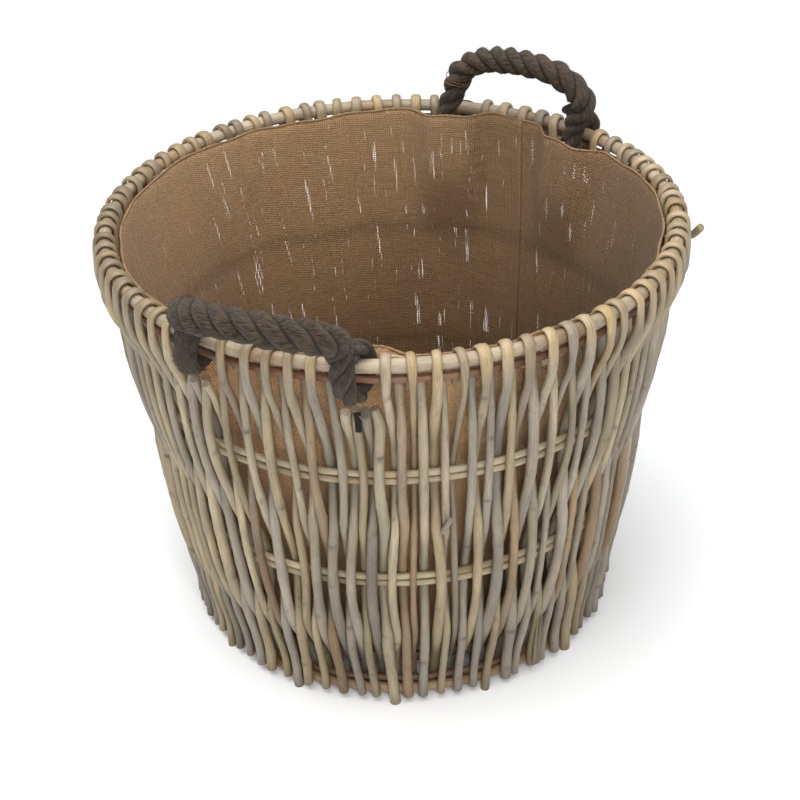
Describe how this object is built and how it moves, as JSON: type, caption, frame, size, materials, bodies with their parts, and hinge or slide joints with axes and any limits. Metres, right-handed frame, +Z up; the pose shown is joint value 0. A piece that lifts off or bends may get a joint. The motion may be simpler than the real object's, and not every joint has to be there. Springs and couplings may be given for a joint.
{
  "type": "log basket",
  "caption": "Round flared log basket of upright willow stakes woven past paired hoops and bent over the rim, with a loose cloth liner and two pivoting rope handles.",
  "frame": {"origin": "on the floor under the middle of the basket", "axes": "+Z up; the far handle is near +X and the near handle near -X"},
  "size_m": [0.5795, 0.5196, 0.4645],
  "materials": {
    "willow_pale": "dry peeled willow, semi matt",
    "willow_grey": "weathered grey willow, matt",
    "willow_gold": "yellow willow, semi matt",
    "willow_red": "red brown willow with bark, satin",
    "hessian": "coarse open plain weave jute",
    "rope": "hairy three strand laid rope",
    "twine": "thin jute twine",
    "binding_tape": "black woven tape"
  },
  "bodies": {
    "basket": {"rim_hoop": "willow_pale", "rim_under_hoop": "willow_red", "upper_hoop_top": "willow_pale", "upper_hoop_bottom": "willow_grey", "lower_hoop_top": "willow_pale", "lower_hoop_bottom": "willow_grey", "base_hoop_upper": "willow_red", "base_hoop_lower": "willow_red", "base_frame_hoop": "willow_red", "base_sticks": "willow_red", "base_weavers_top": "willow_grey", "base_weavers_bottom": "willow_grey", "over_rim_stakes_01": "willow_pale", "over_rim_stakes_02": "willow_grey", "over_rim_stakes_03": "willow_pale", "over_rim_stakes_04": "willow_grey", "over_rim_stakes_05": "willow_pale", "over_rim_stakes_06": "willow_grey", "over_rim_stakes_07": "willow_pale", "over_rim_stakes_08": "willow_grey", "over_rim_stakes_09": "willow_pale", "over_rim_stakes_10": "willow_grey", "over_rim_stakes_11": "willow_pale", "over_rim_stakes_12": "willow_grey", "under_rim_stakes_01": "willow_gold", "under_rim_stakes_02": "willow_grey", "under_rim_stakes_03": "willow_gold", "under_rim_stakes_04": "willow_grey", "under_rim_stakes_05": "willow_gold", "under_rim_stakes_06": "willow_grey", "under_rim_stakes_07": "willow_gold", "under_rim_stakes_08": "willow_grey", "under_rim_stakes_09": "willow_gold", "under_rim_stakes_10": "willow_grey", "under_rim_stakes_11": "willow_gold", "under_rim_stakes_12": "willow_grey", "liner_wall": "hessian", "liner_base": "hessian", "near_binding_tail": "binding_tape"},
    "far_handle": {"far_rope": "rope", "far_twine": "twine"},
    "near_handle": {"near_rope": "rope"}
  },
  "joints": [
    {"name": "far_handle_swing", "type": "hinge", "parent": "basket", "child": "far_handle", "pos_m": [0.23954, -0.01675, 0.3793], "axis": [0.0698, 0.9976, 0], "range_deg": [-10, 170]},
    {"name": "near_handle_swing", "type": "hinge", "parent": "basket", "child": "near_handle", "pos_m": [-0.23936, -0.01914, 0.3793], "axis": [0.0797, -0.9968, 0], "range_deg": [-67, 113]}
  ]
}
